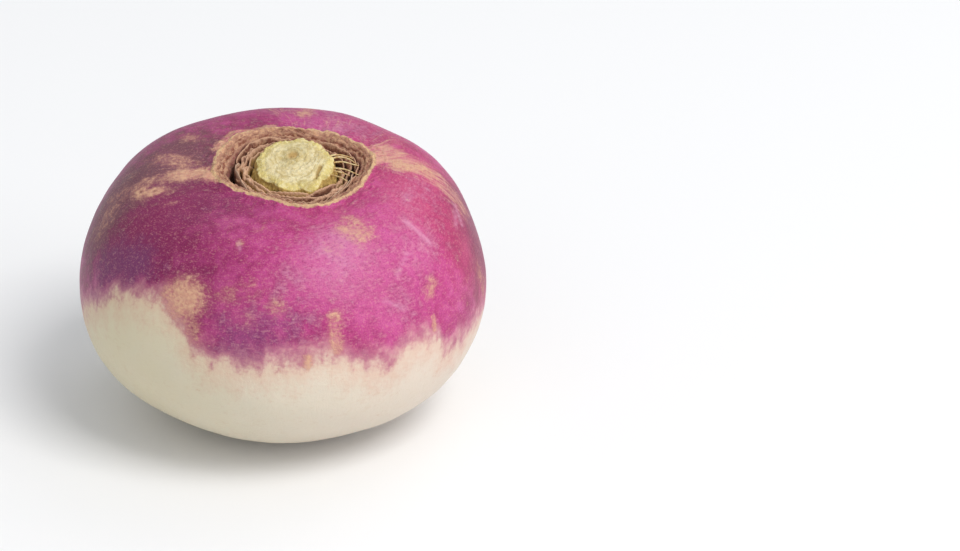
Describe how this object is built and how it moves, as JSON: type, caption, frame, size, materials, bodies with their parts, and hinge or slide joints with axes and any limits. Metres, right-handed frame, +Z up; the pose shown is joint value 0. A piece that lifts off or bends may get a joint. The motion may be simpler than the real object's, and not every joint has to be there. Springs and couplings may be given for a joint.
{
  "type": "turnip",
  "caption": "Flattened round purple-top turnip, trimmed for sale: cut leaf stump in a shallow crown basin, cream underside, small trimmed flat it rests on.",
  "frame": {"origin": "centre of the small flat that the trimmed tap root leaves, at the surface the turnip rests on", "axes": "+Z up through the crown, -Y towards the front, the side that the crown leans to, +X to the right seen from there"},
  "size_m": [0.0873, 0.0874, 0.0584],
  "materials": {
    "skin": "smooth, slightly waxy root skin, magenta purple above and cream below, with pale specks and tan corky marks",
    "cut_stalk": "rough, fibrous, pale yellow-green cut face of the leaf stalks, dry and matte",
    "dry_leaf_base": "dry, papery, pinkish brown leaf bases with dark creases and pale torn edges",
    "torn_fibre": "thin straw-coloured plant fibre, dry"
  },
  "bodies": {
    "root": {"turnip_root": "skin", "crown_stump": "cut_stalk", "leaf_base_left": "dry_leaf_base", "leaf_base_front_left": "dry_leaf_base", "leaf_base_front": "dry_leaf_base", "leaf_base_front_right": "dry_leaf_base", "leaf_base_right": "dry_leaf_base", "leaf_base_back_right": "dry_leaf_base", "leaf_base_back": "dry_leaf_base", "torn_strand_back": "torn_fibre", "torn_strand_upper": "torn_fibre", "torn_strand_lower": "torn_fibre", "torn_strand_front": "torn_fibre"}
  },
  "joints": []
}
